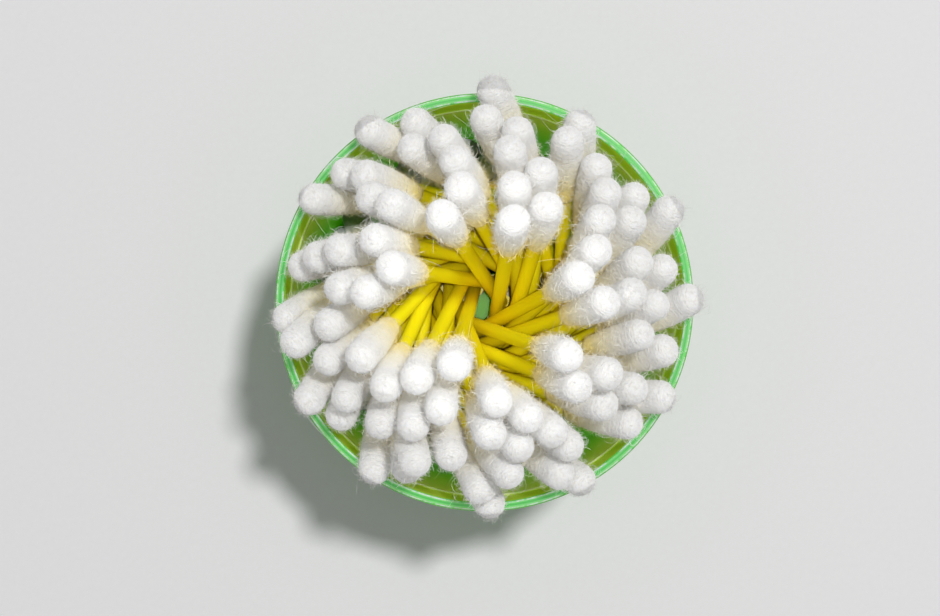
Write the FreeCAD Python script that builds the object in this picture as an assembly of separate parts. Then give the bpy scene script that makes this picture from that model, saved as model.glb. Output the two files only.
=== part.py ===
import FreeCAD, Part
import math
import os

# A cup of cotton swabs. The origin is the middle of the cup's flat underside, and +Z points up.
# All sizes are in millimetres and all angles in degrees.

# Cup
CUP_HEIGHT = 50.0
LIP_DIAMETER = 68.0
LIP_WIDTH = 1.5
LIP_ROUNDING = 0.4
COLLAR_HEIGHT = 9.0
WALL = 1.2
WALL_DRAFT = 1.5
LEDGE_DEPTH = 8.0
LEDGE_WIDTH = 0.4
FLOOR = 1.4
FLOOR_FILLET = 1.5
BASE_ROUNDING = 1.0

# Swab
SWAB_LENGTH = 75.0
STEM_DIAMETER = 2.45
STEM_BORE = 1.1
TIP_DIAMETER = 5.2
TIP_LENGTH = 15.0
BULB_LENGTH = 6.0
NECK_DIAMETER = 3.1
STEM_IN_TIP = 11.0

# Bundle. The swabs stand in courses from the middle of the cup outwards, and every stem passes the
# cup's axis on the same side. The courses' places step evenly from the first course to the last.
COURSE_COUNTS = (1, 1, 7, 10, 11, 12, 13, 14, 12)
# How far a course's stems pass from the axis.
FIRST_MISS = 3.5
LAST_MISS = 15.0
# How far the first course's heads stand from the axis. The last course's lie over the lip.
FIRST_HEAD = 10.5
LAST_HEAD_INSIDE_MOUTH = 0.5
# How far the first course's lower ends stand from the axis. The last course's reach the wall.
FIRST_FOOT = 9.0
# Bearings run anticlockwise from +X. Each course starts further round than the one before it.
FIRST_BEARING = 240.0
COURSE_TURN = 195.0
# How widely the heads of a course stray from an even spacing, measured along the course.
STRAY = 5.0
CLEARANCE = 0.08

# Settling of the bundle. Each turn draws the heads this share of the way to their places, and the
# draw fades away over a count of turns. Then the swabs only press apart, until they rest.
SETTLE_COUNT = 160
FADE_COUNT = 200
MOST_REST_COUNT = 400
TURNS_PER_SEARCH = 8
LIP_SEARCH_COUNT = 3
DRAW_RATIO = 0.3
SINK = 0.05
NEIGHBOUR_GAP = 1.0

UP = FreeCAD.Vector(0, 0, 1)
GOLDEN_RATIO = (1 + math.sqrt(5)) / 2
TIP_RADIUS = TIP_DIAMETER / 2
LIP_RADIUS = LIP_DIAMETER / 2
MOUTH_RADIUS = LIP_RADIUS - LIP_WIDTH
LEDGE_Z = CUP_HEIGHT - LEDGE_DEPTH
COLLAR_Z = CUP_HEIGHT - COLLAR_HEIGHT
ROUNDING_Z = CUP_HEIGHT - LIP_ROUNDING
WALL_SLOPE = math.tan(math.radians(WALL_DRAFT))
# A swab's core runs from the centre of one end's ball to the centre of the other's.
CORE = SWAB_LENGTH - TIP_DIAMETER
BALL_TO_TAPER = BULB_LENGTH - TIP_RADIUS
BALL_TO_NECK = TIP_LENGTH - TIP_RADIUS
# Where along a tip its width is kept clear of other swabs, in shares of the core.
STATIONS = tuple(BALL_TO_NECK * step / 4 / CORE for step in range(5))


def inner_radius(z):
    """The cup's inner radius at height z."""
    if z > LEDGE_Z:
        return MOUTH_RADIUS
    return MOUTH_RADIUS - LEDGE_WIDTH - (LEDGE_Z - z) * WALL_SLOPE


def nearest_in_lip(point):
    """The point nearest to this one on the ring that the lip is rounded about."""
    across = FreeCAD.Vector(point.x, point.y, 0)
    radius = min(max(across.Length, MOUTH_RADIUS + LIP_ROUNDING), LIP_RADIUS - LIP_ROUNDING)
    return across * (radius / across.Length) + UP * ROUNDING_Z


def half_width(share):
    """A swab's radius at a share of the way along its core."""
    distance = min(share, 1 - share) * CORE
    if distance <= BALL_TO_TAPER:
        return TIP_RADIUS
    if distance < BALL_TO_NECK:
        tapered = (distance - BALL_TO_TAPER) / (BALL_TO_NECK - BALL_TO_TAPER)
        return TIP_RADIUS + (NECK_DIAMETER / 2 - TIP_RADIUS) * tapered
    return STEM_DIAMETER / 2


class Swab:
    """A swab's place, held as the centres of its lower and upper end balls."""

    def __init__(self, foot, head):
        self.foot = foot
        self.head = head
        self.aim = FreeCAD.Vector(head)

    def at(self, share):
        return self.foot + (self.head - self.foot) * share

    def move(self, share, step):
        """Moves the swab so that the point at a share of its core takes most of the step."""
        self.foot += step * (1 - share)
        self.head += step * share

    def keep_length(self):
        core = self.head - self.foot
        step = core * (0.5 - 0.5 * CORE / core.Length)
        self.foot += step
        self.head -= step

    def keep_in_cup(self):
        """Keeps the lower end on the floor and inside the wall, and the rest clear of wall and lip."""
        self.foot.z = max(self.foot.z, FLOOR + TIP_RADIUS + CLEARANCE)
        self.keep_inside(0.0)
        for share in STATIONS:
            self.keep_inside(1 - share)
        self.keep_inside(self.share_nearest_lip())

    def keep_inside(self, share):
        """Moves the swab inwards or up where the wall or the lip presses it at this share."""
        point = self.at(share)
        room = half_width(share) + CLEARANCE
        if point.z < ROUNDING_Z:
            across = FreeCAD.Vector(point.x, point.y, 0)
            excess = across.Length + room - inner_radius(point.z)
            if excess > 0:
                self.move(share, across * (-excess / across.Length))
            return
        away = point - nearest_in_lip(point)
        excess = room + LIP_ROUNDING - away.Length
        if excess > 0:
            self.move(share, away * (excess / away.Length))

    def share_nearest_lip(self):
        """Where the core passes nearest to the lip."""
        share = 1.0
        line = self.head - self.foot
        for _ in range(LIP_SEARCH_COUNT):
            reach = nearest_in_lip(self.at(share)) - self.foot
            share = min(max(reach.dot(line) / line.dot(line), 0.0), 1.0)
        return share


def closest_shares(one, other):
    """Where two cores pass closest, as a share along each."""
    along = one.head - one.foot
    other_along = other.head - other.foot
    between = one.foot - other.foot
    a = along.dot(along)
    b = along.dot(other_along)
    c = along.dot(between)
    e = other_along.dot(other_along)
    f = other_along.dot(between)
    share = min(max((b * f - c * e) / max(a * e - b * b, 1e-9), 0.0), 1.0)
    other_share = min(max((b * share + f) / e, 0.0), 1.0)
    share = min(max((b * other_share - c) / a, 0.0), 1.0)
    return share, other_share


def press_apart_at(one, share, other, other_share):
    """Presses two swabs apart at these shares of their cores, and returns how deep they met there."""
    between = one.at(share) - other.at(other_share)
    distance = between.Length
    depth = half_width(share) + half_width(other_share) + CLEARANCE - distance
    if depth <= 0:
        return 0.0
    give = (1 - share) ** 2 + share**2 + (1 - other_share) ** 2 + other_share**2
    step = between * (depth / give / distance)
    one.move(share, step)
    other.move(other_share, step * -1)
    return depth


def press_apart(one, other):
    """Presses two swabs apart where their cores pass closest and along all four tips."""
    share, other_share = closest_shares(one, other)
    if (one.at(share) - other.at(other_share)).Length > TIP_DIAMETER + CLEARANCE:
        return 0.0
    depth = press_apart_at(one, share, other, other_share)
    for first, second in ((one, other), (other, one)):
        for station in STATIONS:
            for share in (station, 1 - station):
                line = second.head - second.foot
                other_share = (first.at(share) - second.foot).dot(line) / line.dot(line)
                other_share = min(max(other_share, 0.0), 1.0)
                depth = max(depth, press_apart_at(first, share, second, other_share))
    return depth


def neighbours(swabs):
    """The pairs of swabs that come near enough to press together soon."""
    pairs = []
    for place, one in enumerate(swabs):
        for other in swabs[place + 1 :]:
            share, other_share = closest_shares(one, other)
            if (one.at(share) - other.at(other_share)).Length < TIP_DIAMETER + NEIGHBOUR_GAP:
                pairs.append((one, other))
    return pairs


def settle(swabs, turns, draw_ratio, sink):
    """Lets the swabs press apart inside the cup, drawn to their places and to the floor."""
    pairs = []
    for turn in range(turns):
        if turn % TURNS_PER_SEARCH == 0:
            pairs = neighbours(swabs)
        draw = draw_ratio * (1 - turn / FADE_COUNT)
        for swab in swabs:
            swab.head.x += (swab.aim.x - swab.head.x) * draw
            swab.head.y += (swab.aim.y - swab.head.y) * draw
            swab.foot.z -= sink
        depth = max(press_apart(one, other) for one, other in pairs)
        for swab in swabs:
            swab.keep_length()
            swab.keep_in_cup()
    return depth


def polar(distance, bearing):
    """A level vector of this length at this bearing, in radians."""
    return FreeCAD.Vector(distance * math.cos(bearing), distance * math.sin(bearing), 0)


def stand(number, place):
    """A swab at this place of a course, as it stands before the bundle settles."""
    outwardness = number / (len(COURSE_COUNTS) - 1)
    last_head = MOUTH_RADIUS - LAST_HEAD_INSIDE_MOUTH
    last_foot = inner_radius(FLOOR + TIP_RADIUS) - TIP_RADIUS - CLEARANCE
    head_distance = FIRST_HEAD + (last_head - FIRST_HEAD) * outwardness
    foot_distance = FIRST_FOOT + (last_foot - FIRST_FOOT) * outwardness
    miss = FIRST_MISS + (LAST_MISS - FIRST_MISS) * outwardness
    start = math.radians(FIRST_BEARING + COURSE_TURN * number)
    # The golden ratio's multiples, less their whole parts, give strays that look random.
    stray = STRAY * ((GOLDEN_RATIO * (number + 1) * (place + 1)) % 1 - 0.5)
    head_bearing = start + 2 * math.pi * place / COURSE_COUNTS[number] + stray / head_distance
    miss_bearing = head_bearing - math.acos(miss / head_distance)
    foot_bearing = miss_bearing - math.acos(miss / foot_distance)
    head = polar(head_distance, head_bearing)
    foot = polar(foot_distance, foot_bearing)
    foot.z = FLOOR + TIP_RADIUS + CLEARANCE
    head.z = foot.z + math.sqrt(CORE**2 - (head.x - foot.x) ** 2 - (head.y - foot.y) ** 2)
    return Swab(foot, head)


def make_cup():
    """The cup: a drafted wall on a flat floor, with a ledge inside and a collar and a lip on top."""
    outer_top = inner_radius(COLLAR_Z) + WALL
    base_radius = outer_top - COLLAR_Z * WALL_SLOPE
    ledge_radius = MOUTH_RADIUS - LEDGE_WIDTH
    floor_radius = inner_radius(FLOOR + FLOOR_FILLET)
    edges = []
    here = FreeCAD.Vector(0, 0, 0)

    def line(x, z):
        nonlocal here
        there = FreeCAD.Vector(x, 0, z)
        edges.append(Part.makeLine(here, there))
        here = there

    def arc(centre_x, centre_z, radius, middle_angle, x, z):
        nonlocal here
        middle = FreeCAD.Vector(
            centre_x + radius * math.cos(math.radians(middle_angle)),
            0,
            centre_z + radius * math.sin(math.radians(middle_angle)),
        )
        there = FreeCAD.Vector(x, 0, z)
        edges.append(Part.Arc(here, middle, there).toShape())
        here = there

    line(base_radius - BASE_ROUNDING, 0)
    arc(base_radius - BASE_ROUNDING, BASE_ROUNDING, BASE_ROUNDING, -45, base_radius, BASE_ROUNDING)
    line(outer_top, COLLAR_Z)
    line(LIP_RADIUS, COLLAR_Z)
    line(LIP_RADIUS, ROUNDING_Z)
    arc(LIP_RADIUS - LIP_ROUNDING, ROUNDING_Z, LIP_ROUNDING, 45, LIP_RADIUS - LIP_ROUNDING, CUP_HEIGHT)
    line(MOUTH_RADIUS + LIP_ROUNDING, CUP_HEIGHT)
    arc(MOUTH_RADIUS + LIP_ROUNDING, ROUNDING_Z, LIP_ROUNDING, 135, MOUTH_RADIUS, ROUNDING_Z)
    line(MOUTH_RADIUS, LEDGE_Z)
    line(ledge_radius, LEDGE_Z)
    line(floor_radius, FLOOR + FLOOR_FILLET)
    fillet_x = floor_radius - FLOOR_FILLET
    arc(fillet_x, FLOOR + FLOOR_FILLET, FLOOR_FILLET, -45, fillet_x, FLOOR)
    line(0, FLOOR)
    line(0, 0)
    return turned(edges)


def turned(edges):
    """The solid that a closed outline in the XZ plane sweeps round the Z axis."""
    return Part.Face(Part.Wire(edges)).revolve(FreeCAD.Vector(), UP, 360)


def make_stem():
    """A stem along +Z, from its lower end at the origin: a straight tube."""
    length = SWAB_LENGTH - 2 * (TIP_LENGTH - STEM_IN_TIP)
    tube = Part.makeCylinder(STEM_DIAMETER / 2, length)
    return tube.cut(Part.makeCylinder(STEM_BORE / 2, length))


def make_tip():
    """A cotton tip along +Z, from its neck at the origin to its round end, with the stem's socket."""
    stem_radius = STEM_DIAMETER / 2
    points = (
        FreeCAD.Vector(0, 0, STEM_IN_TIP),
        FreeCAD.Vector(stem_radius, 0, STEM_IN_TIP),
        FreeCAD.Vector(stem_radius, 0, 0),
        FreeCAD.Vector(NECK_DIAMETER / 2, 0, 0),
        FreeCAD.Vector(TIP_RADIUS, 0, TIP_LENGTH - BULB_LENGTH),
        FreeCAD.Vector(TIP_RADIUS, 0, BALL_TO_NECK),
    )
    pole = FreeCAD.Vector(0, 0, TIP_LENGTH)
    middle = FreeCAD.Vector(TIP_RADIUS * math.sqrt(0.5), 0, BALL_TO_NECK + TIP_RADIUS * math.sqrt(0.5))
    edges = [Part.makeLine(start, end) for start, end in zip(points, points[1:])]
    edges.append(Part.Arc(points[-1], middle, pole).toShape())
    edges.append(Part.makeLine(pole, points[0]))
    return turned(edges)


def placed(shape, origin, direction):
    """A copy of a shape made along +Z, with its origin here and its axis this way."""
    copy = shape.copy()
    copy.Placement = FreeCAD.Placement(origin, FreeCAD.Rotation(UP, direction))
    return copy


os.makedirs("parts", exist_ok=True)

courses = [[stand(number, place) for place in range(count)] for number, count in enumerate(COURSE_COUNTS)]
swabs = [swab for course in courses for swab in course]
deepest = settle(swabs, SETTLE_COUNT, DRAW_RATIO, SINK)
rested = 0
while deepest > CLEARANCE / 2 and rested < MOST_REST_COUNT:
    deepest = settle(swabs, TURNS_PER_SEARCH, 0, 0)
    rested += TURNS_PER_SEARCH
print(f"{len(swabs)} swabs, closest pair {CLEARANCE - deepest:.3f} mm apart after {rested} turns")

make_cup().exportStep("parts/cup.step")

stem = make_stem()
tip = make_tip()
for number, course in enumerate(courses, 1):
    stems = []
    upper_tips = []
    lower_tips = []
    for swab in course:
        way = (swab.head - swab.foot).normalize()
        middle = (swab.head + swab.foot) / 2
        stems.append(placed(stem, middle - way * (SWAB_LENGTH / 2 - TIP_LENGTH + STEM_IN_TIP), way))
        upper_tips.append(placed(tip, middle + way * (SWAB_LENGTH / 2 - TIP_LENGTH), way))
        lower_tips.append(placed(tip, middle - way * (SWAB_LENGTH / 2 - TIP_LENGTH), way * -1))
    Part.makeCompound(stems).exportStep(f"parts/course_{number}_stems.step")
    Part.makeCompound(upper_tips).exportStep(f"parts/course_{number}_upper_tips.step")
    Part.makeCompound(lower_tips).exportStep(f"parts/course_{number}_lower_tips.step")
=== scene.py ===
"""Dresses the cup of cotton swabs for rendering and export.

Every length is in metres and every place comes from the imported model: the cup from its box, and each
swab from the solids of its stem and its two tips.
"""

from __future__ import annotations

import logging
import math
import random
from dataclasses import dataclass
from enum import Enum
from functools import partial

import bmesh
import bpy
from bmesh.types import BMesh, BMFace, BMVert
from mathutils import Matrix, Vector, noise

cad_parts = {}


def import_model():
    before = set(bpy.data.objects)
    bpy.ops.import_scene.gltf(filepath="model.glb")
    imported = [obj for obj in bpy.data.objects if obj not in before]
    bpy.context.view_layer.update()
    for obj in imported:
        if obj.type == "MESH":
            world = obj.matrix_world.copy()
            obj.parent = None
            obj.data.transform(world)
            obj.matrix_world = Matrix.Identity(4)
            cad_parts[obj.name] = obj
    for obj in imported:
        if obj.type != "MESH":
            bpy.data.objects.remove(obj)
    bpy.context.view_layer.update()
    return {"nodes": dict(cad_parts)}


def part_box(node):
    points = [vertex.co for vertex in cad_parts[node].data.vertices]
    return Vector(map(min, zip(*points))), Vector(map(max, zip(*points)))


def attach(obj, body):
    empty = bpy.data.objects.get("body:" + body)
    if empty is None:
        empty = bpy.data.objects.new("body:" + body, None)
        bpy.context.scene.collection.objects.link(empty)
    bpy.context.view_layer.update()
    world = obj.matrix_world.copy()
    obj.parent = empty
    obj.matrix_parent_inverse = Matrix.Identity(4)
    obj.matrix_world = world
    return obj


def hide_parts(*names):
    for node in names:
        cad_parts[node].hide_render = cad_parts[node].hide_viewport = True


MM = 0.001
BODY = "root"
MERGE_DISTANCE = 1e-6
RANDOM_SEED = 11
UP = (0.0, 0.0, 1.0)
WHITE = (1.0, 1.0, 1.0)
NOISE_MIDDLE = 0.5

# Sockets taken by number, because several on the node share a name
MIX_COLOURS = (6, 7)
MIX_COLOUR_RESULT = 2
RANDOM_SCALE_RANGE = (2, 3)
RANDOM_SCALE_RESULT = 1

Triple = tuple[float, float, float]
Colour = Triple
Socket = bpy.types.NodeSocket
Material = bpy.types.Material
Mesh = bpy.types.Mesh
Object = bpy.types.Object

LOG = logging.getLogger("swab_cup")


class Slot(Enum):
    """The record's material slots."""

    CUP = "cup"
    STEM = "stem"
    COTTON = "cotton"


class End(Enum):
    """Which end of the swabs a node of tips holds."""

    UPPER = "upper"
    LOWER = "lower"


# Materials


def add_node(tree: bpy.types.NodeTree, kind: str, **settings: object) -> bpy.types.Node:
    """Adds a node to a tree.

    Args:
        tree: The tree.
        kind: The kind of node.
        settings: The node's options and what they are set to.

    Returns:
        The node.
    """
    node = tree.nodes.new(kind)
    for name, value in settings.items():
        setattr(node, name, value)
    return node


@dataclass(frozen=True)
class Grain:
    """A noise pattern, and the bump that it can give a surface."""

    scale: float = 1.0
    stretch: Triple | None = None
    detail: float = 2.0
    roughness: float = 0.5
    bump_depth: float = 0.0
    bump_strength: float = 0.0


class Recipe:
    """A node material built round one Principled shader."""

    def __init__(self, name: str) -> None:
        """Starts an empty recipe.

        Args:
            name: The material's name.
        """
        self.material = bpy.data.materials.new(name)
        self.material.use_nodes = True
        self.tree = self.material.node_tree
        self.shader = self.tree.nodes["Principled BSDF"]

    def set(self, **values: object) -> None:
        """Sets constants on the shader's own sockets, named with underscores for spaces."""
        for name, value in values.items():
            self.shader.inputs[name.replace("_", " ")].default_value = value

    def add(self, kind: str, **settings: object) -> bpy.types.Node:
        """Adds a node and sets its options."""
        return add_node(self.tree, kind, **settings)

    def add_at(self, place: Socket, kind: str, **settings: object) -> bpy.types.Node:
        """Adds a node whose vector is a place.

        Args:
            place: The coordinates that the node reads.
            kind: The kind of node.
            settings: The node's options and what they are set to.

        Returns:
            The node.
        """
        node = self.add(kind, **settings)
        self.link(place, node.inputs["Vector"])
        return node

    def link(self, output: Socket, target: Socket) -> None:
        """Joins an output to an input."""
        self.tree.links.new(output, target)

    def feed(self, target: Socket, value: Socket | Colour | float) -> None:
        """Gives an input its value.

        Args:
            target: The input.
            value: The output that it is joined to, or the colour or number that it is set to.
        """
        if isinstance(value, Socket):
            self.link(value, target)
        elif isinstance(value, tuple):
            target.default_value = (*value, 1.0)
        else:
            target.default_value = value

    def object_place(self) -> Socket:
        """The surface point in the object's own coordinates."""
        return self.add("ShaderNodeTexCoord").outputs["Object"]

    def attribute(self, name: str, output: str) -> Socket:
        """One output of the mesh attribute with this name."""
        return self.add("ShaderNodeAttribute", attribute_name=name).outputs[output]

    def height_of(self, place: Socket) -> Socket:
        """The Z part of a vector."""
        return self.add_at(place, "ShaderNodeSeparateXYZ").outputs["Z"]

    def math(self, operation: str, first: Socket | float, second: Socket | float) -> Socket:
        """Works out one sum on two values.

        Args:
            operation: The Math node's operation.
            first: The first value, as a socket or a number.
            second: The second value, as a socket or a number.

        Returns:
            The socket that holds the result.
        """
        node = self.add("ShaderNodeMath", operation=operation)
        self.feed(node.inputs[0], first)
        self.feed(node.inputs[1], second)
        return node.outputs[0]

    def noise(self, place: Socket, grain: Grain) -> Socket:
        """A noise value over a place.

        Args:
            place: The coordinates that the noise reads.
            grain: The pattern of the noise.

        Returns:
            The noise's value, round about one half.
        """
        if grain.stretch is not None:
            place = self.stretch(place, grain.stretch)
        node = self.add_at(place, "ShaderNodeTexNoise")
        node.inputs["Scale"].default_value = grain.scale
        node.inputs["Detail"].default_value = grain.detail
        node.inputs["Roughness"].default_value = grain.roughness
        return node.outputs["Fac"]

    def stretch(self, place: Socket, scale: Triple) -> Socket:
        """Stretches coordinates.

        Args:
            place: The coordinates.
            scale: What they are multiplied by along each axis.

        Returns:
            The stretched coordinates.
        """
        node = self.add_at(place, "ShaderNodeMapping")
        node.inputs["Scale"].default_value = scale
        return node.outputs["Vector"]

    def ramp(self, factor: Socket, *stops: tuple[float, Colour]) -> Socket:
        """Turns a value into a colour.

        Args:
            factor: The value that is looked up.
            stops: Places from 0 to 1, each with its colour.

        Returns:
            The colour's socket.
        """
        node = self.add("ShaderNodeValToRGB")
        elements = node.color_ramp.elements
        while len(elements) < len(stops):
            elements.new(0.5)
        for element, (place, colour) in zip(elements, stops):
            element.position = place
            element.color = (*colour, 1.0)
        self.link(factor, node.inputs["Fac"])
        return node.outputs["Color"]

    def shades(self, factor: Socket, *stops: tuple[float, float]) -> Socket:
        """Turns a value into another, by stops that each have a place from 0 to 1 and a value."""
        return self.ramp(factor, *((place, (shade,) * 3) for place, shade in stops))

    def mix(
        self, factor: Socket | float, first: Socket | Colour, second: Socket | Colour, blend: str = "MIX"
    ) -> Socket:
        """Mixes two colours.

        Args:
            factor: How much of the second colour shows.
            first: The colour at a factor of 0.
            second: The colour at a factor of 1.
            blend: The Mix node's way of blending.

        Returns:
            The mixed colour's socket.
        """
        node = self.add("ShaderNodeMix", data_type="RGBA", blend_type=blend)
        self.feed(node.inputs["Factor"], factor)
        for number, colour in zip(MIX_COLOURS, (first, second)):
            self.feed(node.inputs[number], colour)
        return node.outputs[MIX_COLOUR_RESULT]

    def colour(self, socket: Socket) -> None:
        """Sends a colour to the shader."""
        self.link(socket, self.shader.inputs["Base Color"])

    def bump(self, *layers: tuple[Socket, Grain]) -> None:
        """Stacks bump layers on the shader, each a height and the grain that says how deep it goes."""
        normal = None
        for height, grain in layers:
            node = self.add("ShaderNodeBump")
            node.inputs["Distance"].default_value = grain.bump_depth
            node.inputs["Strength"].default_value = grain.bump_strength
            self.link(height, node.inputs["Height"])
            if normal is not None:
                self.link(normal, node.inputs["Normal"])
            normal = node.outputs["Normal"]
        self.link(normal, self.shader.inputs["Normal"])


@dataclass(frozen=True)
class CupPlastic:
    """Moulded green plastic that lets a little light through. Its colours carry painted light: a lighter
    mint top and pale broken highlight lines on the lip, painted shade in the lip's groove and on the outer
    wall, a yellower, brighter inner wall for light coming through it and off the stems, and painted shade
    darkening towards the floor.
    """

    # Darker than the plastic's own green: painted shade on the outer wall and the lip's outer rounding.
    shaded_outside: Colour = (0.09, 0.42, 0.025)
    # Lighter mint than the plastic's own green: painted light and sheen on the lip's top.
    lip: Colour = (0.09, 0.64, 0.08)
    # Painted shade in the shallow groove along the middle of the lip.
    groove_shade: Colour = (0.02, 0.42, 0.04)
    # Painted highlight along the ridges near the lip's edges.
    lip_highlight: Colour = (0.74, 0.97, 0.76)
    # Yellower and brighter than the plastic: painted light through the wall and off the yellow stems,
    # above the ledge.
    lit_band: Colour = (0.54, 0.98, 0.08)
    # Paler and yellower than the plastic: painted light through the thin wall under the ledge.
    wall: Colour = (0.62, 0.94, 0.24)
    # Painted shade towards the floor of the cup.
    deep: Colour = (0.16, 0.62, 0.02)
    roughness_on_lip: float = 0.45
    roughness_on_floor: float = 0.58
    glow: float = 0.9
    glow_depth: float = 9.0 * MM
    clouds: Grain = Grain(scale=60.0, bump_depth=0.2 * MM, bump_strength=0.3)
    cloud_share: float = 0.1
    pits: Grain = Grain(scale=2600.0, bump_depth=0.03 * MM, bump_strength=0.35)
    # Noise that splits the painted highlight lines near the lip's edges into glints.
    glint_breaks: Grain = Grain(scale=420.0, detail=4.0, roughness=0.7)

    def make(self, ledge: float, height: float, mouth: float, rim: float) -> Material:
        """Builds the material.

        Args:
            ledge: The height of the ledge, above which the inner wall is painted brighter and yellower,
                standing in for light through the wall and off the stems.
            height: The height of the cup, over which painted shade darkens the inner wall downwards.
            mouth: The radius of the opening, where the lip begins.
            rim: The radius of the lip's outer edge.

        Returns:
            The finished material.
        """
        recipe = Recipe("green_plastic")
        place = recipe.object_place()
        raised = recipe.height_of(place)
        level = recipe.math("DIVIDE", raised, height)
        clouds = recipe.noise(place, self.clouds)
        clouded = recipe.math("ADD", level, recipe.math("MULTIPLY", clouds, self.cloud_share))
        # Painted shade: the inner wall darkens from its painted-light colour towards the floor.
        under_ledge = recipe.ramp(clouded, (0.4, self.deep), (0.9, self.wall))
        above_ledge = recipe.math("GREATER_THAN", raised, ledge)
        # Above the ledge the inner wall takes the brighter painted-light colour.
        inner = recipe.mix(above_ledge, under_ledge, self.lit_band)
        lip = self.lip_light_and_shade(recipe, place, mouth, rim)
        # The lip's top takes the lighter mint of painted light; the rest of the outer surface takes the
        # painted-shade green.
        outer = recipe.mix(recipe.attribute("on_lip", "Fac"), self.shaded_outside, lip)
        recipe.colour(recipe.mix(recipe.attribute("inside", "Fac"), outer, inner))
        roughness = recipe.shades(level, (0.1, self.roughness_on_floor), (0.5, self.roughness_on_lip))
        recipe.link(roughness, recipe.shader.inputs["Roughness"])
        recipe.bump((clouds, self.clouds), (recipe.noise(place, self.pits), self.pits))
        recipe.set(
            IOR=1.49,
            Subsurface_Weight=self.glow,
            Subsurface_Radius=(0.7, 1.0, 0.3),
            Subsurface_Scale=self.glow_depth,
        )
        return recipe.material

    def lip_light_and_shade(self, recipe: Recipe, place: Socket, mouth: float, rim: float) -> Socket:
        """Paints light and shade across the lip: shade in its middle groove and at its outer edge, and
        broken highlight lines near its edges.

        Args:
            recipe: The material that is being built.
            place: The surface point.
            mouth: The radius of the opening.
            rim: The radius of the lip's outer edge.

        Returns:
            The lip's colour, with its painted light and shade.
        """
        flat = recipe.stretch(place, (1.0, 1.0, 0.0))
        across = recipe.add_at(flat, "ShaderNodeVectorMath", operation="LENGTH")
        beyond_mouth = recipe.math("SUBTRACT", across.outputs["Value"], mouth)
        share = recipe.math("DIVIDE", beyond_mouth, rim - mouth)
        # Lit mint, with painted shade in the middle groove and at the outer edge.
        body = recipe.ramp(
            share,
            (0.25, self.lip),
            (0.50, self.groove_shade),
            (0.62, self.lip),
            (0.90, self.lip),
            (1.0, self.shaded_outside),
        )
        # Painted highlight lines near both edges of the lip, split into glints by noise.
        edges = recipe.shades(
            share, (0.04, 0.0), (0.14, 1.0), (0.28, 0.0), (0.70, 0.0), (0.80, 1.0), (0.90, 0.0)
        )
        glint_breaks = recipe.shades(recipe.noise(place, self.glint_breaks), (0.40, 0.0), (0.56, 1.0))
        return recipe.mix(recipe.mix(1.0, edges, glint_breaks, "MULTIPLY"), body, self.lip_highlight)


@dataclass(frozen=True)
class StemPlastic:
    """Smooth yellow plastic with faint lines along the stem, where it was drawn, and painted shade that
    turns it amber deeper in the cup.
    """

    light: Colour = (1.0, 0.90, 0.010)
    dark: Colour = (1.0, 0.83, 0.004)
    # Painted shade: deeper stems turn this amber, standing in for shade and light bounced between the
    # yellow stems.
    amber: Colour = (1.0, 0.62, 0.0)
    most_amber: float = 0.8
    roughness: float = 0.36
    lines: Grain = Grain(
        stretch=(9.0, 9.0, 1.2), detail=3.0, roughness=0.6, bump_depth=0.02 * MM, bump_strength=0.3
    )
    line_share: float = 0.45
    tint_share: float = 0.5

    def make(self, height: float) -> Material:
        """Builds the material.

        Args:
            height: The height of the cup, under which the plastic is painted amber, as shade and light
                bounced between the yellow stems.

        Returns:
            The finished material.
        """
        recipe = Recipe("yellow_plastic")
        lines = recipe.noise(recipe.attribute("around", "Vector"), self.lines)
        from_lines = recipe.math("MULTIPLY", lines, self.line_share)
        from_tint = recipe.math("MULTIPLY", recipe.attribute("tint", "Fac"), self.tint_share)
        shade = recipe.math("ADD", from_lines, from_tint)
        yellow = recipe.ramp(shade, (0.15, self.light), (0.75, self.dark))
        level = recipe.math("DIVIDE", recipe.height_of(recipe.object_place()), height)
        # Painted shade: the deeper in the cup, the more amber the stem.
        depth_shade = recipe.shades(level, (0.15, self.most_amber), (0.85, 0.0))
        recipe.colour(recipe.mix(depth_shade, yellow, self.amber))
        recipe.bump((lines, self.lines))
        recipe.set(
            Roughness=self.roughness,
            IOR=1.46,
            Subsurface_Weight=0.35,
            Subsurface_Radius=(1.0, 0.8, 0.05),
            Subsurface_Scale=0.8 * MM,
        )
        return recipe.material


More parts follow.
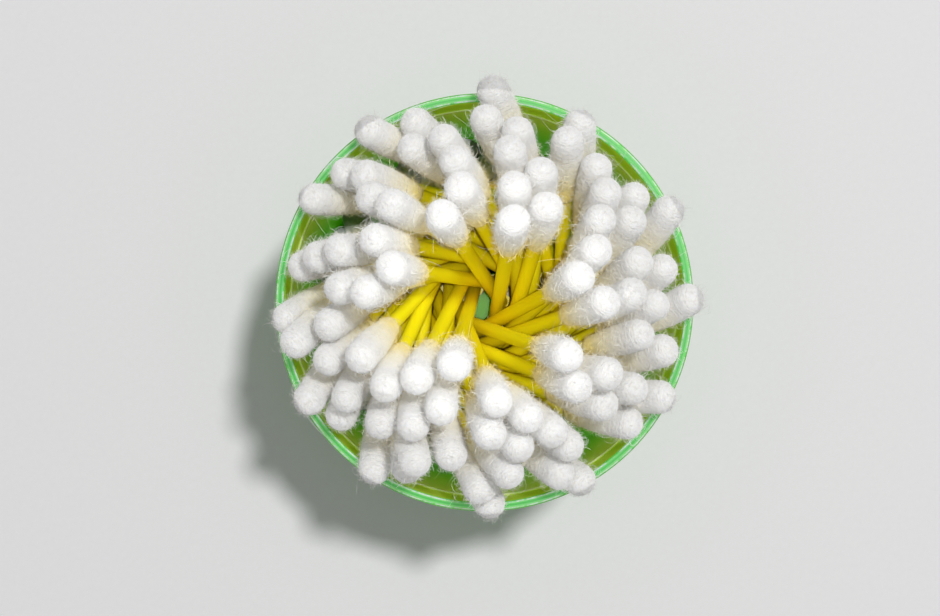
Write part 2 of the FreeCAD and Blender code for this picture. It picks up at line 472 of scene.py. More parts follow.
@dataclass(frozen=True)
class WoundCotton:
    """White cotton wound on the stem: fine fuzz all over and rings of thread, with painted shade in the
    grooves between threads and painted yellow light from the stems towards the neck.
    """

    white: Colour = (0.88, 0.877, 0.87)
    # Cream and deep yellow towards the neck: partly the yellow stem showing through the thin cotton,
    # partly painted light bounced from the yellow stems.
    cream: Colour = (1.0, 0.90, 0.56)
    neck: Colour = (1.0, 0.80, 0.12)
    # Painted shade in the grooves between the wound threads.
    furrow_shade: Colour = (0.91, 0.90, 0.87)
    rings: Grain = Grain(
        stretch=(0.7, 0.7, 26.0), detail=4.0, roughness=0.65, bump_depth=0.5 * MM, bump_strength=0.7
    )
    ring_share: float = 0.25
    threads: Grain = Grain(
        stretch=(2.2, 2.2, 70.0), detail=3.0, roughness=0.6, bump_depth=0.3 * MM, bump_strength=0.7
    )
    fuzz: Grain = Grain(scale=3000.0, detail=3.0, roughness=0.7, bump_depth=0.2 * MM, bump_strength=0.7)
    clumps: Grain = Grain(scale=600.0, detail=4.0, roughness=0.7, bump_depth=0.3 * MM, bump_strength=0.4)

    def make(self) -> Material:
        """Builds the material.

        Returns:
            The finished material.
        """
        recipe = Recipe("wound_cotton")
        wound = recipe.attribute("wound", "Vector")
        place = recipe.object_place()
        rings = recipe.noise(wound, self.rings)
        threads = recipe.noise(wound, self.threads)
        fuzz = recipe.noise(place, self.fuzz)
        clumps = recipe.noise(place, self.clumps)
        # Painted shade: the grooves between threads are darker.
        furrow_shading = recipe.ramp(threads, (0.32, self.furrow_shade), (0.52, WHITE))
        from_middle = recipe.math("SUBTRACT", rings, NOISE_MIDDLE)
        shift = recipe.math("MULTIPLY", from_middle, self.ring_share)
        ringed = recipe.math("ADD", recipe.height_of(wound), shift)
        # Painted yellow bounce light, partly the stem showing through, growing towards the neck along the
        # wavering rings.
        neck_bounce = recipe.shades(ringed, (0.22, 0.0), (0.5, 0.55), (0.86, 1.0))
        yellow = recipe.ramp(neck_bounce, (0.0, self.cream), (0.65, self.cream), (1.0, self.neck))
        tone = recipe.mix(neck_bounce, self.white, yellow)
        recipe.colour(recipe.mix(1.0, tone, furrow_shading, "MULTIPLY"))
        recipe.bump((clumps, self.clumps), (rings, self.rings), (threads, self.threads), (fuzz, self.fuzz))
        recipe.set(
            Roughness=0.95,
            Specular_IOR_Level=0.15,
            Subsurface_Weight=0.5,
            Subsurface_Radius=(1.0, 0.93, 0.8),
            Subsurface_Scale=1.0 * MM,
            Sheen_Weight=1.0,
            Sheen_Roughness=0.5,
        )
        return recipe.material


@dataclass(frozen=True)
class LooseCotton:
    """The single fibres that stand off the wound cotton: white, with painted golden light from the yellow
    stems towards the neck.
    """

    white: Colour = (0.91, 0.90, 0.87)
    grey: Colour = (0.83, 0.81, 0.76)
    # Painted golden light bounced from the yellow stems onto the fibres near the neck.
    bounce_gold: Colour = (0.99, 0.83, 0.34)
    patches: Grain = Grain(scale=400.0)

    def make(self) -> Material:
        """Builds the material.

        Returns:
            The finished material.
        """
        recipe = Recipe("loose_cotton")
        patches = recipe.noise(recipe.object_place(), self.patches)
        plain = recipe.ramp(patches, (0.35, self.grey), (0.65, self.white))
        along = recipe.height_of(recipe.attribute("wound", "Vector"))
        neck_bounce = recipe.shades(along, (0.35, 0.0), (0.9, 1.0))
        recipe.colour(recipe.mix(neck_bounce, plain, self.bounce_gold))
        recipe.set(Roughness=0.9, Specular_IOR_Level=0.2)
        return recipe.material


@dataclass(frozen=True)
class Finishes:
    """The materials of the swabs."""

    stem: Material
    cotton: Material
    fibre: Material


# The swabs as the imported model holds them


@dataclass(frozen=True)
class Tip:
    """Where one tip stands: its neck on the stem, its round end and its largest radius."""

    neck: Vector
    pole: Vector
    radius: float

    def place(self) -> Matrix:
        """The move that takes a tip made along +Z from the origin to its place."""
        return standing(self.neck, self.pole)


@dataclass(frozen=True)
class Stem:
    """Where one stem stands: the middles of its two ends and its radius."""

    low: Vector
    high: Vector
    radius: float

    def place(self) -> Matrix:
        """The move that takes a stem made along +Z from the origin to its place."""
        return standing(self.low, self.high)


def standing(origin: Vector, end: Vector) -> Matrix:
    """Works out how a piece made along +Z is moved to its place.

    Args:
        origin: Where the piece's origin goes.
        end: The point that its +Z axis then passes through.

    Returns:
        The move as a matrix.
    """
    turn = Vector(UP).rotation_difference(end - origin)
    return Matrix.Translation(origin) @ turn.to_matrix().to_4x4()


def solids_of(node: Object) -> list[list[Vector]]:
    """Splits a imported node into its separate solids.

    Args:
        node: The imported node, which is only read.

    Returns:
        The corner points of each solid.
    """
    bm = bmesh.new()
    bm.from_mesh(node.data)
    bmesh.ops.remove_doubles(bm, verts=bm.verts, dist=MERGE_DISTANCE)
    seen: set[BMVert] = set()
    solids = []
    for first in bm.verts:
        if first in seen:
            continue
        seen.add(first)
        solid, waiting = [], [first]
        while waiting:
            vert = waiting.pop()
            solid.append(vert.co.copy())
            for link in vert.link_edges:
                other = link.other_vert(vert)
                if other not in seen:
                    seen.add(other)
                    waiting.append(other)
        solids.append(solid)
    bm.free()
    return solids


def middle_of(points: list[Vector]) -> Vector:
    """The mean of some points."""
    return sum(points, Vector()) / len(points)


def measure_stem(points: list[Vector]) -> Stem:
    """Measures a straight tube by the rings of points at its two ends.

    Args:
        points: The tube's corner points.

    Returns:
        The stem's place and radius.
    """
    middle = middle_of(points)
    rough = max(points, key=lambda point: (point - middle).length) - middle
    low = middle_of([point for point in points if (point - middle).dot(rough) * rough.z < 0.0])
    high = middle_of([point for point in points if (point - middle).dot(rough) * rough.z > 0.0])
    way = (high - low).normalized()
    radius = max(off_line(point, low, way) for point in points)
    return Stem(low, high, radius)


def off_line(point: Vector, origin: Vector, way: Vector) -> float:
    """How far a point lies from the line through an origin along a unit vector."""
    reach = point - origin
    return (reach - way * reach.dot(way)).length


def measure_tip(points: list[Vector], stems: list[Stem], end: End) -> Tip:
    """Measures a tip along the stem that it is wound on.

    Args:
        points: The tip's corner points.
        stems: The stems, one of which carries the tip.
        end: Which end of the stem the tip is on.

    Returns:
        The tip's place and radius.
    """
    middle = middle_of(points)
    stem = min(stems, key=lambda one: off_line(middle, one.low, (one.high - one.low).normalized()))
    way = (stem.high - stem.low).normalized()
    if end is End.LOWER:
        way = -way
    reaches = [(point - stem.low).dot(way) for point in points]
    neck = stem.low + way * min(reaches)
    pole = stem.low + way * max(reaches)
    return Tip(neck, pole, max(off_line(point, stem.low, way) for point in points))


# Shared ways of making meshes and pieces


def as_mesh(bm: BMesh, name: str) -> Mesh:
    """Turns a shape into a mesh.

    Args:
        bm: The shape, which is freed.
        name: The mesh's name.

    Returns:
        The mesh.
    """
    mesh = bpy.data.meshes.new(name)
    bm.to_mesh(mesh)
    bm.free()
    return mesh


def in_scene(name: str, data: bpy.types.ID) -> Object:
    """Adds an object to the scene.

    Args:
        name: The object's name.
        data: The mesh, light or camera that it holds.

    Returns:
        The object.
    """
    item = bpy.data.objects.new(name, data)
    bpy.context.scene.collection.objects.link(item)
    return item


def spun(profile: list[tuple[float, float]], steps: int) -> BMesh:
    """Spins an outline round the Z axis.

    Args:
        profile: Radius and height of each corner, from one end of the outline to the other.
        steps: How many flat sides a full turn has.

    Returns:
        The closed shape.
    """
    bm = bmesh.new()
    verts = [bm.verts.new((radius, 0.0, height)) for radius, height in profile]
    edges = [bm.edges.new(pair) for pair in zip(verts, verts[1:])]
    bmesh.ops.spin(
        bm,
        geom=verts + edges,
        cent=(0.0, 0.0, 0.0),
        axis=UP,
        angle=math.tau,
        steps=steps,
        use_merge=True,
    )
    bmesh.ops.remove_doubles(bm, verts=bm.verts, dist=MERGE_DISTANCE)
    bmesh.ops.dissolve_degenerate(bm, edges=bm.edges, dist=MERGE_DISTANCE)
    bmesh.ops.recalc_face_normals(bm, faces=bm.faces)
    return bm


def round_ring(bm: BMesh, radius: float, height: float, offset: float, segments: int) -> None:
    """Rounds the ring of edges that a corner of a spun outline left.

    Args:
        bm: The spun shape.
        radius: The corner's radius.
        height: The corner's height.
        offset: The size of the rounding.
        segments: How many steps the rounding has.
    """

    def on_ring(vert: BMVert) -> bool:
        """True if the vertex came from this corner."""
        across = math.hypot(vert.co.x, vert.co.y)
        return abs(across - radius) < MERGE_DISTANCE and abs(vert.co.z - height) < MERGE_DISTANCE

    ring = [edge for edge in bm.edges if all(on_ring(vert) for vert in edge.verts)]
    bmesh.ops.bevel(
        bm,
        geom=ring,
        offset=offset,
        offset_type="OFFSET",
        segments=segments,
        profile=0.5,
        affect="EDGES",
        clamp_overlap=True,
        material=-1,
    )


def finished(
    bm: BMesh, name: str, material: Material, replaces: tuple[str, ...]
) -> Object:
    """Turns a shape into a piece that rides on the body.

    Args:
        bm: The shape, which is freed.
        name: The piece's name.
        material: Its material.
        replaces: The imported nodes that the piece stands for.

    Returns:
        The piece.
    """
    for face in bm.faces:
        face.smooth = True
    return as_piece(as_mesh(bm, name), name, material, replaces)


def as_piece(
    mesh: Mesh, name: str, material: Material, replaces: tuple[str, ...] = ()
) -> Object:
    """Makes a mesh a piece that rides on the body.

    Args:
        mesh: The finished mesh, already in its place.
        name: The piece's name.
        material: Its material.
        replaces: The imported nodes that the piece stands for.

    Returns:
        The piece.
    """
    mesh.materials.clear()
    mesh.materials.append(material)
    piece = in_scene(name, mesh)
    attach(piece, BODY)
    if replaces:
        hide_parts(*replaces)
    return piece


# The cup


@dataclass
class Cup:
    """The cup, with the sizes that its box doesn't give."""

    height: float
    lip_radius: float
    lip_width: float = 1.5 * MM
    # How wide a strip of the lip's top takes the lighter mint of painted light.
    mint_width: float = 1.5 * MM
    outer_rounding: tuple[float, float] = (0.3 * MM, 0.3 * MM)
    inner_rounding: tuple[float, float] = (0.45 * MM, 0.25 * MM)
    groove_depth: float = 0.02 * MM
    collar_height: float = 9.0 * MM
    wall: float = 1.2 * MM
    wall_slope: float = math.tan(math.radians(1.5))
    ledge_depth: float = 8.0 * MM
    ledge_width: float = 0.4 * MM
    floor: float = 1.4 * MM
    floor_fillet: float = 1.5 * MM
    base_rounding: float = 1.0 * MM
    fine_rounding: float = 0.15 * MM
    steps: int = 160

    @property
    def mouth_radius(self) -> float:
        """The radius of the opening."""
        return self.lip_radius - self.lip_width

    def inner_radius(self, height: float) -> float:
        """The inner wall's radius at a height under the ledge."""
        ledge_height = self.height - self.ledge_depth
        return self.mouth_radius - self.ledge_width - (ledge_height - height) * self.wall_slope

    def lip_outline(self, steps: int = 8) -> list[tuple[float, float]]:
        """Draws the top of the lip inwards: a rounded edge, a shallow groove and a softer edge.

        Args:
            steps: How many steps each stretch has.

        Returns:
            Radius and height of each point.
        """
        points = []
        wide, high = self.outer_rounding
        for step in range(steps + 1):
            angle = math.pi / 2.0 * step / steps
            inset = wide * (1.0 - math.cos(angle))
            drop = high * (1.0 - math.sin(angle))
            points.append((self.lip_radius - inset, self.height - drop))
        groove_start = self.lip_radius - wide
        wide, high = self.inner_rounding
        groove_width = groove_start - self.mouth_radius - wide
        for step in range(1, steps):
            share = step / steps
            dip = self.groove_depth * (1.0 - math.cos(share * math.tau)) / 2.0
            points.append((groove_start - groove_width * share, self.height - dip))
        for step in range(steps + 1):
            angle = math.pi / 2.0 * step / steps
            inset = wide * (1.0 - math.sin(angle))
            drop = high * (1.0 - math.cos(angle))
            points.append((self.mouth_radius + inset, self.height - drop))
        return points

    def build(self, finish: CupPlastic) -> Object:
        """Builds the cup.

        Args:
            finish: The plastic that it is moulded in.

        Returns:
            The piece.
        """
        collar = self.height - self.collar_height
        ledge = self.height - self.ledge_depth
        outer_top = self.inner_radius(collar) + self.wall
        base_radius = outer_top - collar * self.wall_slope
        profile = [
            (0.0, 0.0),
            (base_radius, 0.0),
            (outer_top, collar),
            (self.lip_radius, collar),
            *self.lip_outline(),
            (self.mouth_radius, ledge),
            (self.mouth_radius - self.ledge_width, ledge),
            (self.inner_radius(self.floor), self.floor),
            (0.0, self.floor),
        ]
        bm = spun(profile, self.steps)
        for radius, height, rounding, segments in (
            (base_radius, 0.0, self.base_rounding, 5),
            (self.lip_radius, collar, self.fine_rounding, 2),
            (self.mouth_radius, ledge, self.fine_rounding, 2),
            (self.mouth_radius - self.ledge_width, ledge, self.fine_rounding, 3),
            (self.inner_radius(self.floor), self.floor, self.floor_fillet, 6),
        ):
            round_ring(bm, radius, height, rounding, segments)
        self.mark_zones(bm)
        material = finish.make(ledge, self.height, self.mouth_radius, self.lip_radius)
        return finished(bm, "cup_shell", material, ("cup",))

    def mark_zones(self, bm: BMesh) -> None:
        """Marks the faces of the lip's top, and those of the inner wall, the ledge and the floor.

        Args:
            bm: The cup's shape.
        """
        bm.normal_update()
        inside = bm.faces.layers.float.new("inside")
        on_lip = bm.faces.layers.float.new("on_lip")
        lip_bottom = self.height - self.inner_rounding[1]
        least_rise = -0.01
        most_outward_inside = 0.1
        most_outward_on_lip = 0.7
        for face in bm.faces:
            middle = face.calc_center_median()
            across = math.hypot(middle.x, middle.y)
            outward = face.normal.dot(Vector((middle.x, middle.y, 0.0))) / max(across, MERGE_DISTANCE)
            in_mouth = across < self.lip_radius - self.mint_width
            upright = face.normal.z > least_rise
            # Faces marked here take the painted light and shade of the inner wall and of the lip's top.
            face[inside] = float(in_mouth and upright and outward < most_outward_inside)
            on_top = middle.z > lip_bottom and outward < most_outward_on_lip
            face[on_lip] = float(not in_mouth and on_top)


# The swabs


@dataclass
class StemMaker:
    """Makes the stems of a course: smooth tubes, with the line round them as an attribute."""

    steps: int = 20
    bore_share: float = 0.45
    millimetres_per_unit: float = 10.0
    sharp_angle: float = math.radians(50.0)

    def template(self, stem: Stem) -> Mesh:
        """Makes one stem along +Z.

        Args:
            stem: The stem whose length and radius are used.

        Returns:
            The stem's mesh.
        """
        length = (stem.high - stem.low).length
        bore = stem.radius * self.bore_share
        profile = [(bore, 0.0), (stem.radius, 0.0), (stem.radius, length), (bore, length), (bore, 0.0)]
        bm = spun(profile, self.steps)
        around = bm.verts.layers.float_vector.new("around")
        bm.verts.layers.float.new("tint")
        for vert in bm.verts:
            across = Vector((vert.co.x, vert.co.y, 0.0)).normalized()
            vert[around] = (across.x, across.y, vert.co.z / MM / self.millimetres_per_unit)
        return as_mesh(bm, "stem_template")

    def build(self, stems: list[Stem], node: str, material: Material, chance: random.Random) -> Object:
        """Builds all the stems of a course as one piece.

        Args:
            stems: The stems to make.
            node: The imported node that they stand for.
            material: Their plastic.
            chance: The source of chance for their tints.

        Returns:
            The piece.
        """
        template = self.template(stems[0])
        bm = bmesh.new()
        for stem in stems:
            verts = add_copy(bm, template, stem.place())
            tint = bm.verts.layers.float["tint"]
            value = chance.random()
            for vert in verts:
                vert[tint] = value
        bpy.data.meshes.remove(template)
        for edge in bm.edges:
            edge.smooth = len(edge.link_faces) == 2 and edge.calc_face_angle(0.0) < self.sharp_angle
        return finished(bm, f"{node}_plastic", material, (node,))


def add_copy(bm: BMesh, template: Mesh, move: Matrix) -> list[BMVert]:
    """Adds a copy of a mesh to a shape.

    Args:
        bm: The shape that is added to.
        template: The mesh that is copied.
        move: The move that takes the copy to its place.

    Returns:
        The copy's vertices.
    """
    before = len(bm.verts)
    bm.from_mesh(template)
    bm.verts.ensure_lookup_table()
    verts = bm.verts[before:]
    bmesh.ops.transform(bm, matrix=move, verts=verts)
    return verts


@dataclass
class TipMaker:
    """Makes the cotton tips of a course: soft wound bulbs that narrow to a neck."""

    steps: int
    bulb_length: float = 6.0 * MM
    neck_radius: float = 1.75 * MM
    neck_rounding: float = 0.4 * MM
    neck_dish: tuple[float, float] = (0.2, 0.35)
    taper_power: float = 1.25
    stem_radius: float = 1.2 * MM
    rings_on_taper: int = 14
    rings_on_ball: int = 8
    lump: float = 0.07 * MM
    lump_size: float = 1.9 * MM
    lump_falloff: float = 0.6
    lump_lacunarity: float = 2.0
    lump_octaves: int = 3
    squash: float = 0.035

    def profile(self, length: float, radius: float) -> list[tuple[float, float]]:
        """Draws the tip's outline, from its neck to its round end.

        Args:
            length: The tip's length.
            radius: The bulb's radius.

        Returns:
            Radius and height of each point.
        """
        rise_at_stem, inset_at_neck = self.neck_dish
        points = [
            (0.0, self.neck_rounding),
            (self.stem_radius, self.neck_rounding * rise_at_stem),
            (self.neck_radius - self.neck_rounding * inset_at_neck, 0.0),
        ]
        taper_top = length - self.bulb_length
        for step in range(self.rings_on_taper + 1):
            share = step / self.rings_on_taper
            height = self.neck_rounding + (taper_top - self.neck_rounding) * share
            widening = math.sin(share * math.pi / 2.0) ** self.taper_power
            points.append((self.neck_radius + (radius - self.neck_radius) * widening, height))
        ball_height = length - radius
        points.append((radius, (taper_top + ball_height) / 2.0))
        for step in range(self.rings_on_ball):
            angle = math.pi / 2.0 * step / self.rings_on_ball
            points.append((radius * math.cos(angle), ball_height + radius * math.sin(angle)))
        points.append((0.0, length))
        return points

    def template(self, tip: Tip) -> Mesh:
        """Makes one tip along +Z.

        Args:
            tip: The tip whose length and radius are used.

        Returns:
            The tip's mesh.
        """
        length = (tip.pole - tip.neck).length
        bm = spun(self.profile(length, tip.radius), self.steps)
        wound = bm.verts.layers.float_vector.new("wound")
        for vert in bm.verts:
            across = Vector((vert.co.x, vert.co.y, 0.0)).normalized()
            vert[wound] = (across.x, across.y, 1.0 - vert.co.z / length)
        return as_mesh(bm, "tip_template")

    def build(self, tips: list[Tip], node: str, material: Material, chance: random.Random) -> Object:
        """Builds all the tips of a course as one piece.

        Args:
            tips: The tips to make.
            node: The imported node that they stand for.
            material: Their cotton.
            chance: The source of chance for their shapes.

        Returns:
            The piece.
        """
        template = self.template(tips[0])
        bm = bmesh.new()
        for tip in tips:
            wide = 1.0 + chance.uniform(-self.squash, self.squash)
            narrow = 1.0 - chance.uniform(0.0, self.squash)
            turn = Matrix.Rotation(chance.uniform(0.0, math.tau), 4, "Z")
            add_copy(bm, template, tip.place() @ (turn @ Matrix.Diagonal((wide, narrow, 1.0, 1.0))))
        bpy.data.meshes.remove(template)
        bm.normal_update()
        for vert in bm.verts:
            place = vert.co / self.lump_size
            lump = noise.fractal(place, self.lump_falloff, self.lump_lacunarity, self.lump_octaves)
            vert.co += vert.normal * (lump * self.lump)
        return finished(bm, f"{node}_cotton", material, (node,))


@dataclass(frozen=True)
class FibreCoat:
    """Single fibres scattered over the cotton."""

    name: str
    length: float
    radius: float
    bends: int
    sway: float
    per_square_metre: float
    least_tilt: float
    most_tilt: float
    least_scale: float = 0.3
    from_share: float = 0.0
    side_tilt: float = 0.4
    side_sway: float = 0.3
    side_rate: float = 1.7
    sides: int = 3

    def template(self, material: Material) -> Object:
        """Makes one bent fibre along +Z, which narrows to a point.

        Args:
            material: The fibre's cotton.

        Returns:
            An object that holds the fibre.
        """
        bm = bmesh.new()
        bmesh.ops.create_circle(bm, cap_ends=True, segments=self.sides, radius=self.radius)
        bm.faces.ensure_lookup_table()
        face = bm.faces[0]
        rise = self.length / self.bends
        for bend in range(1, self.bends + 1):
            made = bmesh.ops.extrude_face_region(bm, geom=[face])["geom"]
            verts = [item for item in made if isinstance(item, BMVert)]
            face = next(item for item in made if isinstance(item, BMFace))
            turn = self.sway * bend / self.bends
            sideways = self.side_sway * math.sin(turn * self.side_rate)
            step = Vector((math.sin(turn), sideways, math.cos(turn))) * rise
            bmesh.ops.translate(bm, vec=step, verts=verts)
        bmesh.ops.pointmerge(bm, verts=verts, merge_co=middle_of([vert.co for vert in verts]))
        bmesh.ops.recalc_face_normals(bm, faces=bm.faces)
        mesh = as_mesh(bm, f"{self.name}_template")
        mesh.materials.append(material)
        return in_scene(mesh.name, mesh)

    def scatter(self, fibre: Object, seed: int) -> bpy.types.NodeTree:
        """Builds the geometry nodes that scatter the fibre.

        Args:
            fibre: The object that holds one fibre.
            seed: The seed of the scattering.

        Returns:
            The node group.
        """
        tree = bpy.data.node_groups.new(self.name, "GeometryNodeTree")
        for side in ("INPUT", "OUTPUT"):
            tree.interface.new_socket("Geometry", in_out=side, socket_type="NodeSocketGeometry")
        add = partial(add_node, tree)
        source = add("NodeGroupInput")
        sink = add("NodeGroupOutput")
        wound = add("GeometryNodeInputNamedAttribute", data_type="FLOAT_VECTOR")
        wound.inputs["Name"].default_value = "wound"
        parts = add("ShaderNodeSeparateXYZ")
        near_neck = add("FunctionNodeCompare", data_type="FLOAT", operation="GREATER_EQUAL")
        near_neck.inputs["B"].default_value = self.from_share
        points = add("GeometryNodeDistributePointsOnFaces")
        points.inputs["Density"].default_value = self.per_square_metre
        points.inputs["Seed"].default_value = seed
        turn = add("FunctionNodeRandomValue", data_type="FLOAT_VECTOR")
        turn.inputs["Min"].default_value = (self.least_tilt, -self.side_tilt, 0.0)
        turn.inputs["Max"].default_value = (self.most_tilt, self.side_tilt, math.tau)
        turned = add("FunctionNodeRotateRotation", rotation_space="LOCAL")
        size = add("FunctionNodeRandomValue", data_type="FLOAT")
        for number, scale in zip(RANDOM_SCALE_RANGE, (self.least_scale, 1.0)):
            size.inputs[number].default_value = scale
        size.inputs["Seed"].default_value = seed + 1
        model = add("GeometryNodeObjectInfo")
        model.inputs["Object"].default_value = fibre
        copies = add("GeometryNodeInstanceOnPoints")
        joined = add("GeometryNodeRealizeInstances")
        for output, target in (
            (wound.outputs["Attribute"], parts.inputs["Vector"]),
            (parts.outputs["Z"], near_neck.inputs["A"]),
            (near_neck.outputs["Result"], points.inputs["Selection"]),
            (source.outputs["Geometry"], points.inputs["Mesh"]),
            (points.outputs["Points"], copies.inputs["Points"]),
            (points.outputs["Rotation"], turned.inputs["Rotation"]),
            (turn.outputs[0], turned.inputs["Rotate By"]),
            (turned.outputs["Rotation"], copies.inputs["Rotation"]),
            (size.outputs[RANDOM_SCALE_RESULT], copies.inputs["Scale"]),
            (model.outputs["Geometry"], copies.inputs["Instance"]),
            (copies.outputs["Instances"], joined.inputs["Geometry"]),
            (joined.outputs["Geometry"], sink.inputs["Geometry"]),
        ):
            tree.links.new(output, target)
        return tree

    def build(self, cotton: Object, material: Material, seed: int) -> Object:
        """Grows the fibres on a piece of cotton.

        Args:
            cotton: The piece that they grow on.
            material: The fibres' cotton.
            seed: The seed of the scattering.

        Returns:
            The fibres' piece.
        """
        fibre = self.template(material)
        tree = self.scatter(fibre, seed)
        ground = cotton.copy()
        bpy.context.scene.collection.objects.link(ground)
        ground.modifiers.new(self.name, "NODES").node_group = tree
        bpy.context.view_layer.update()
        shown = ground.evaluated_get(bpy.context.evaluated_depsgraph_get())
        name = f"{cotton.name}_{self.name}"
        mesh = bpy.data.meshes.new_from_object(shown)
        mesh.name = name
        bpy.data.objects.remove(ground)
        bpy.data.objects.remove(fibre)
        bpy.data.node_groups.remove(tree)
        return as_piece(mesh, name, material)


SHORT_FIBRES = FibreCoat(
    name="fuzz",
    length=1.2 * MM,
    radius=0.025 * MM,
    bends=1,
    sway=0.0,
    per_square_metre=6.4e6,
    least_tilt=0.3,
    most_tilt=1.5,
)
LONG_FIBRES = FibreCoat(
    name="strays",
    length=3.8 * MM,
    radius=0.024 * MM,
    bends=5,
    sway=2.6,
    per_square_metre=2.2e5,
    least_tilt=0.7,
    most_tilt=1.6,
)
TUFTS = FibreCoat(
    name="tufts",
    length=1.7 * MM,
    radius=0.034 * MM,
    bends=3,
    sway=0.9,
    per_square_metre=3.5e5,
    least_tilt=0.3,
    most_tilt=1.4,
)
FLYAWAY_FIBRES = FibreCoat(
    name="flyaways",
    length=6.5 * MM,
    radius=0.018 * MM,
    bends=6,
    sway=1.5,
    per_square_metre=2.5e4,
    least_tilt=0.3,
    most_tilt=1.3,
    least_scale=0.4,
)
NECK_FIBRES = FibreCoat(
    name="wisps",
    length=2.4 * MM,
    radius=0.014 * MM,
    bends=5,
    sway=3.2,
    per_square_metre=4.0e5,
    least_tilt=0.6,
    most_tilt=1.6,
    least_scale=0.4,
    from_share=0.72,
)


@dataclass
class Bundle:
    """All the swabs, course by course."""

    nodes: dict[str, Object]
    finishes: Finishes
    upper: TipMaker
    lower: TipMaker
    stems: StemMaker
    coats: tuple[FibreCoat, ...]

    def build(self) -> None:
        """Builds every course and reports its pieces."""
        chance = random.Random(RANDOM_SEED)
        courses = sorted(name.removesuffix("_stems") for name in self.nodes if name.endswith("_stems"))
        for number, course in enumerate(courses):
            self.build_course(course, number, chance)

    def build_course(self, course: str, number: int, chance: random.Random) -> None:
        """Builds the swabs of one course.

        Args:
            course: The start of the names of the course's nodes.
            number: The course's number, for its seeds.
            chance: The source of chance for shapes and tints.
        """
        stem_node = f"{course}_stems"
        stems = [measure_stem(points) for points in solids_of(self.nodes[stem_node])]
        report(self.stems.build(stems, stem_node, self.finishes.stem, chance))
        for end, maker in ((End.UPPER, self.upper), (End.LOWER, self.lower)):
            node = f"{course}_{end.value}_tips"
            tips = [measure_tip(points, stems, end) for points in solids_of(self.nodes[node])]
            cotton = maker.build(tips, node, self.finishes.cotton, chance)
            report(cotton)
            if end is End.UPPER:
                for place, coat in enumerate(self.coats):
                    report(coat.build(cotton, self.finishes.fibre, number * len(self.coats) + place))


def report(piece: Object) -> None:
    """Reports one finished piece."""
    LOG.info("%s: %d faces", piece.name, len(piece.data.polygons))


# The studio


@dataclass(frozen=True)
class Lamp:
    """A lamp that points at the cup.

    Its level is the share of full light that it gives a surface that faces it.
    """

    name: str
    way: Triple
    distance: float
    size: float
    level: float

    def hang(self, lamp: bpy.types.Light) -> None:
        """Hangs the lamp in its place.

        Args:
            lamp: The lamp's data, with its power still to be set.
        """
        hung = in_scene(self.name, lamp)
        way = Vector(self.way).normalized()
        hung.location = way * self.distance
        hung.rotation_mode = "QUATERNION"
        hung.rotation_quaternion = way.to_track_quat("Z", "Y")


@dataclass(frozen=True)
class SoftLamp(Lamp):
    """A round soft box."""

    def build(self) -> None:
        """Builds the lamp."""
        lamp = bpy.data.lights.new(self.name, "AREA")
        lamp.shape = "DISK"
        lamp.size = self.size
        lamp.energy = self.level * (math.pi * self.distance) ** 2
        self.hang(lamp)


@dataclass(frozen=True)
class Snoot(Lamp):
    """A lamp with a tube on it, whose light stays within the lip's outer edge and off the table."""

    reach: float
    fade: float

    def build(self) -> None:
        """Builds the lamp."""
        lamp = bpy.data.lights.new(self.name, "SPOT")
        lamp.shadow_soft_size = self.size / 2.0
        lamp.spot_size = 2.0 * math.atan(self.reach / self.distance)
        lamp.spot_blend = self.fade
        lamp.energy = self.level * (2.0 * math.pi * self.distance) ** 2
        self.hang(lamp)


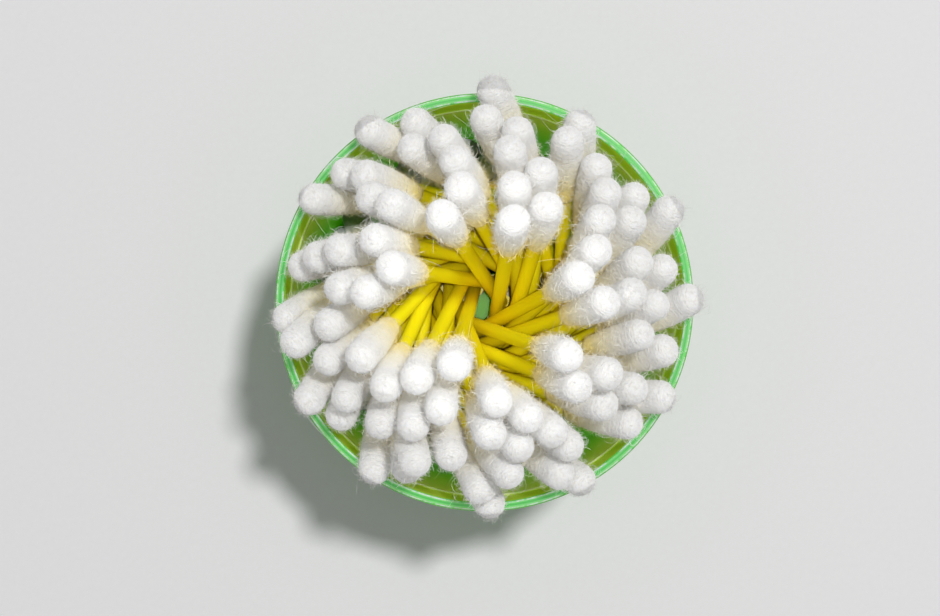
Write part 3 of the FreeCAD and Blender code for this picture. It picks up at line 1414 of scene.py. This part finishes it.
@dataclass
class Studio:
    """A pale table, soft lamps and a camera that looks straight down."""

    table_size: float = 6.0
    table_colour: Colour = (0.84, 0.84, 0.85)
    # The colour the camera sees has a faint magenta tint, painted to cancel the green light that the cup
    # bounces onto the table.
    table_seen: Colour = (1.0, 0.985, 1.0)
    table_grain: Grain = Grain(scale=900.0)
    grain_shade: float = 0.985
    sky: float = 0.24
    backdrop: float = 0.9
    key: SoftLamp = SoftLamp("key", way=(11.7, 12.9, 50.0), distance=1.6, size=0.16, level=0.53)
    overhead: Snoot = Snoot(
        "overhead", way=UP, distance=3.0, size=0.2 * MM, level=0.30, reach=34.5 * MM, fade=0.02
    )
    filler: Snoot = Snoot(
        "filler", way=UP, distance=3.0, size=3.0 * MM, level=0.42, reach=13.5 * MM, fade=0.95
    )
    camera_place: Triple = (-2.34 * MM, -0.93 * MM, 318.0 * MM)
    lens: float = 63.2
    nearest_seen: float = 10.0 * MM

    def build(self) -> None:
        """Builds the table, the light and the camera, and sets how colours are shown."""
        self.add_table()
        self.add_sky()
        for lamp in (self.key, self.overhead, self.filler):
            lamp.build()
        self.add_camera()
        bpy.context.scene.view_settings.view_transform = "Standard"

    def add_table(self) -> None:
        """Lays the pale table under the cup."""
        bm = bmesh.new()
        bmesh.ops.create_grid(bm, x_segments=1, y_segments=1, size=self.table_size / 2.0)
        mesh = as_mesh(bm, "table")
        recipe = Recipe("pale_table")
        grain = recipe.noise(recipe.object_place(), self.table_grain)
        shaded = tuple(self.grain_shade * part for part in self.table_seen)
        seen = recipe.ramp(grain, (0.3, shaded), (0.7, self.table_seen))
        path = recipe.add("ShaderNodeLightPath")
        recipe.colour(recipe.mix(path.outputs["Is Camera Ray"], self.table_colour, seen))
        recipe.set(Roughness=0.9, Specular_IOR_Level=0.2)
        mesh.materials.append(recipe.material)
        table = in_scene("table", mesh)

    def add_sky(self) -> None:
        """Fills the room with soft light, and shows a pale backdrop to the camera and in gloss."""
        world = bpy.data.worlds.new("room")
        bpy.context.scene.world = world
        world.use_nodes = True
        tree = world.node_tree
        light = tree.nodes["Background"]
        light.inputs["Color"].default_value = (*WHITE, 1.0)
        light.inputs["Strength"].default_value = self.sky
        shown = add_node(tree, "ShaderNodeBackground")
        shown.inputs["Strength"].default_value = self.backdrop
        path = add_node(tree, "ShaderNodeLightPath")
        seen = add_node(tree, "ShaderNodeMath", operation="MAXIMUM")
        mixed = add_node(tree, "ShaderNodeMixShader")
        for output, target in (
            (path.outputs["Is Camera Ray"], seen.inputs[0]),
            (path.outputs["Is Glossy Ray"], seen.inputs[1]),
            (seen.outputs[0], mixed.inputs["Fac"]),
            (light.outputs[0], mixed.inputs[1]),
            (shown.outputs[0], mixed.inputs[2]),
            (mixed.outputs[0], tree.nodes["World Output"].inputs["Surface"]),
        ):
            tree.links.new(output, target)

    def add_camera(self) -> None:
        """Sets up the camera."""
        data = bpy.data.cameras.new("camera")
        data.lens = self.lens
        data.clip_start = self.nearest_seen
        camera = in_scene("camera", data)
        camera.location = self.camera_place
        bpy.context.scene.camera = camera


def main() -> None:
    """Builds the whole scene."""
    logging.basicConfig(level=logging.INFO, format="%(name)s: %(message)s")
    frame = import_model()
    low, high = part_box("cup")
    cup = Cup(height=high.z - low.z, lip_radius=(high.x - low.x) / 2.0)
    report(cup.build(CupPlastic()))
    Bundle(
        nodes=frame["nodes"],
        finishes=Finishes(StemPlastic().make(cup.height), WoundCotton().make(), LooseCotton().make()),
        upper=TipMaker(steps=28),
        lower=TipMaker(steps=14, rings_on_taper=8, rings_on_ball=5),
        stems=StemMaker(),
        coats=(SHORT_FIBRES, TUFTS, LONG_FIBRES, NECK_FIBRES, FLYAWAY_FIBRES),
    ).build()
    Studio().build()


if __name__ == "__main__":
    main()
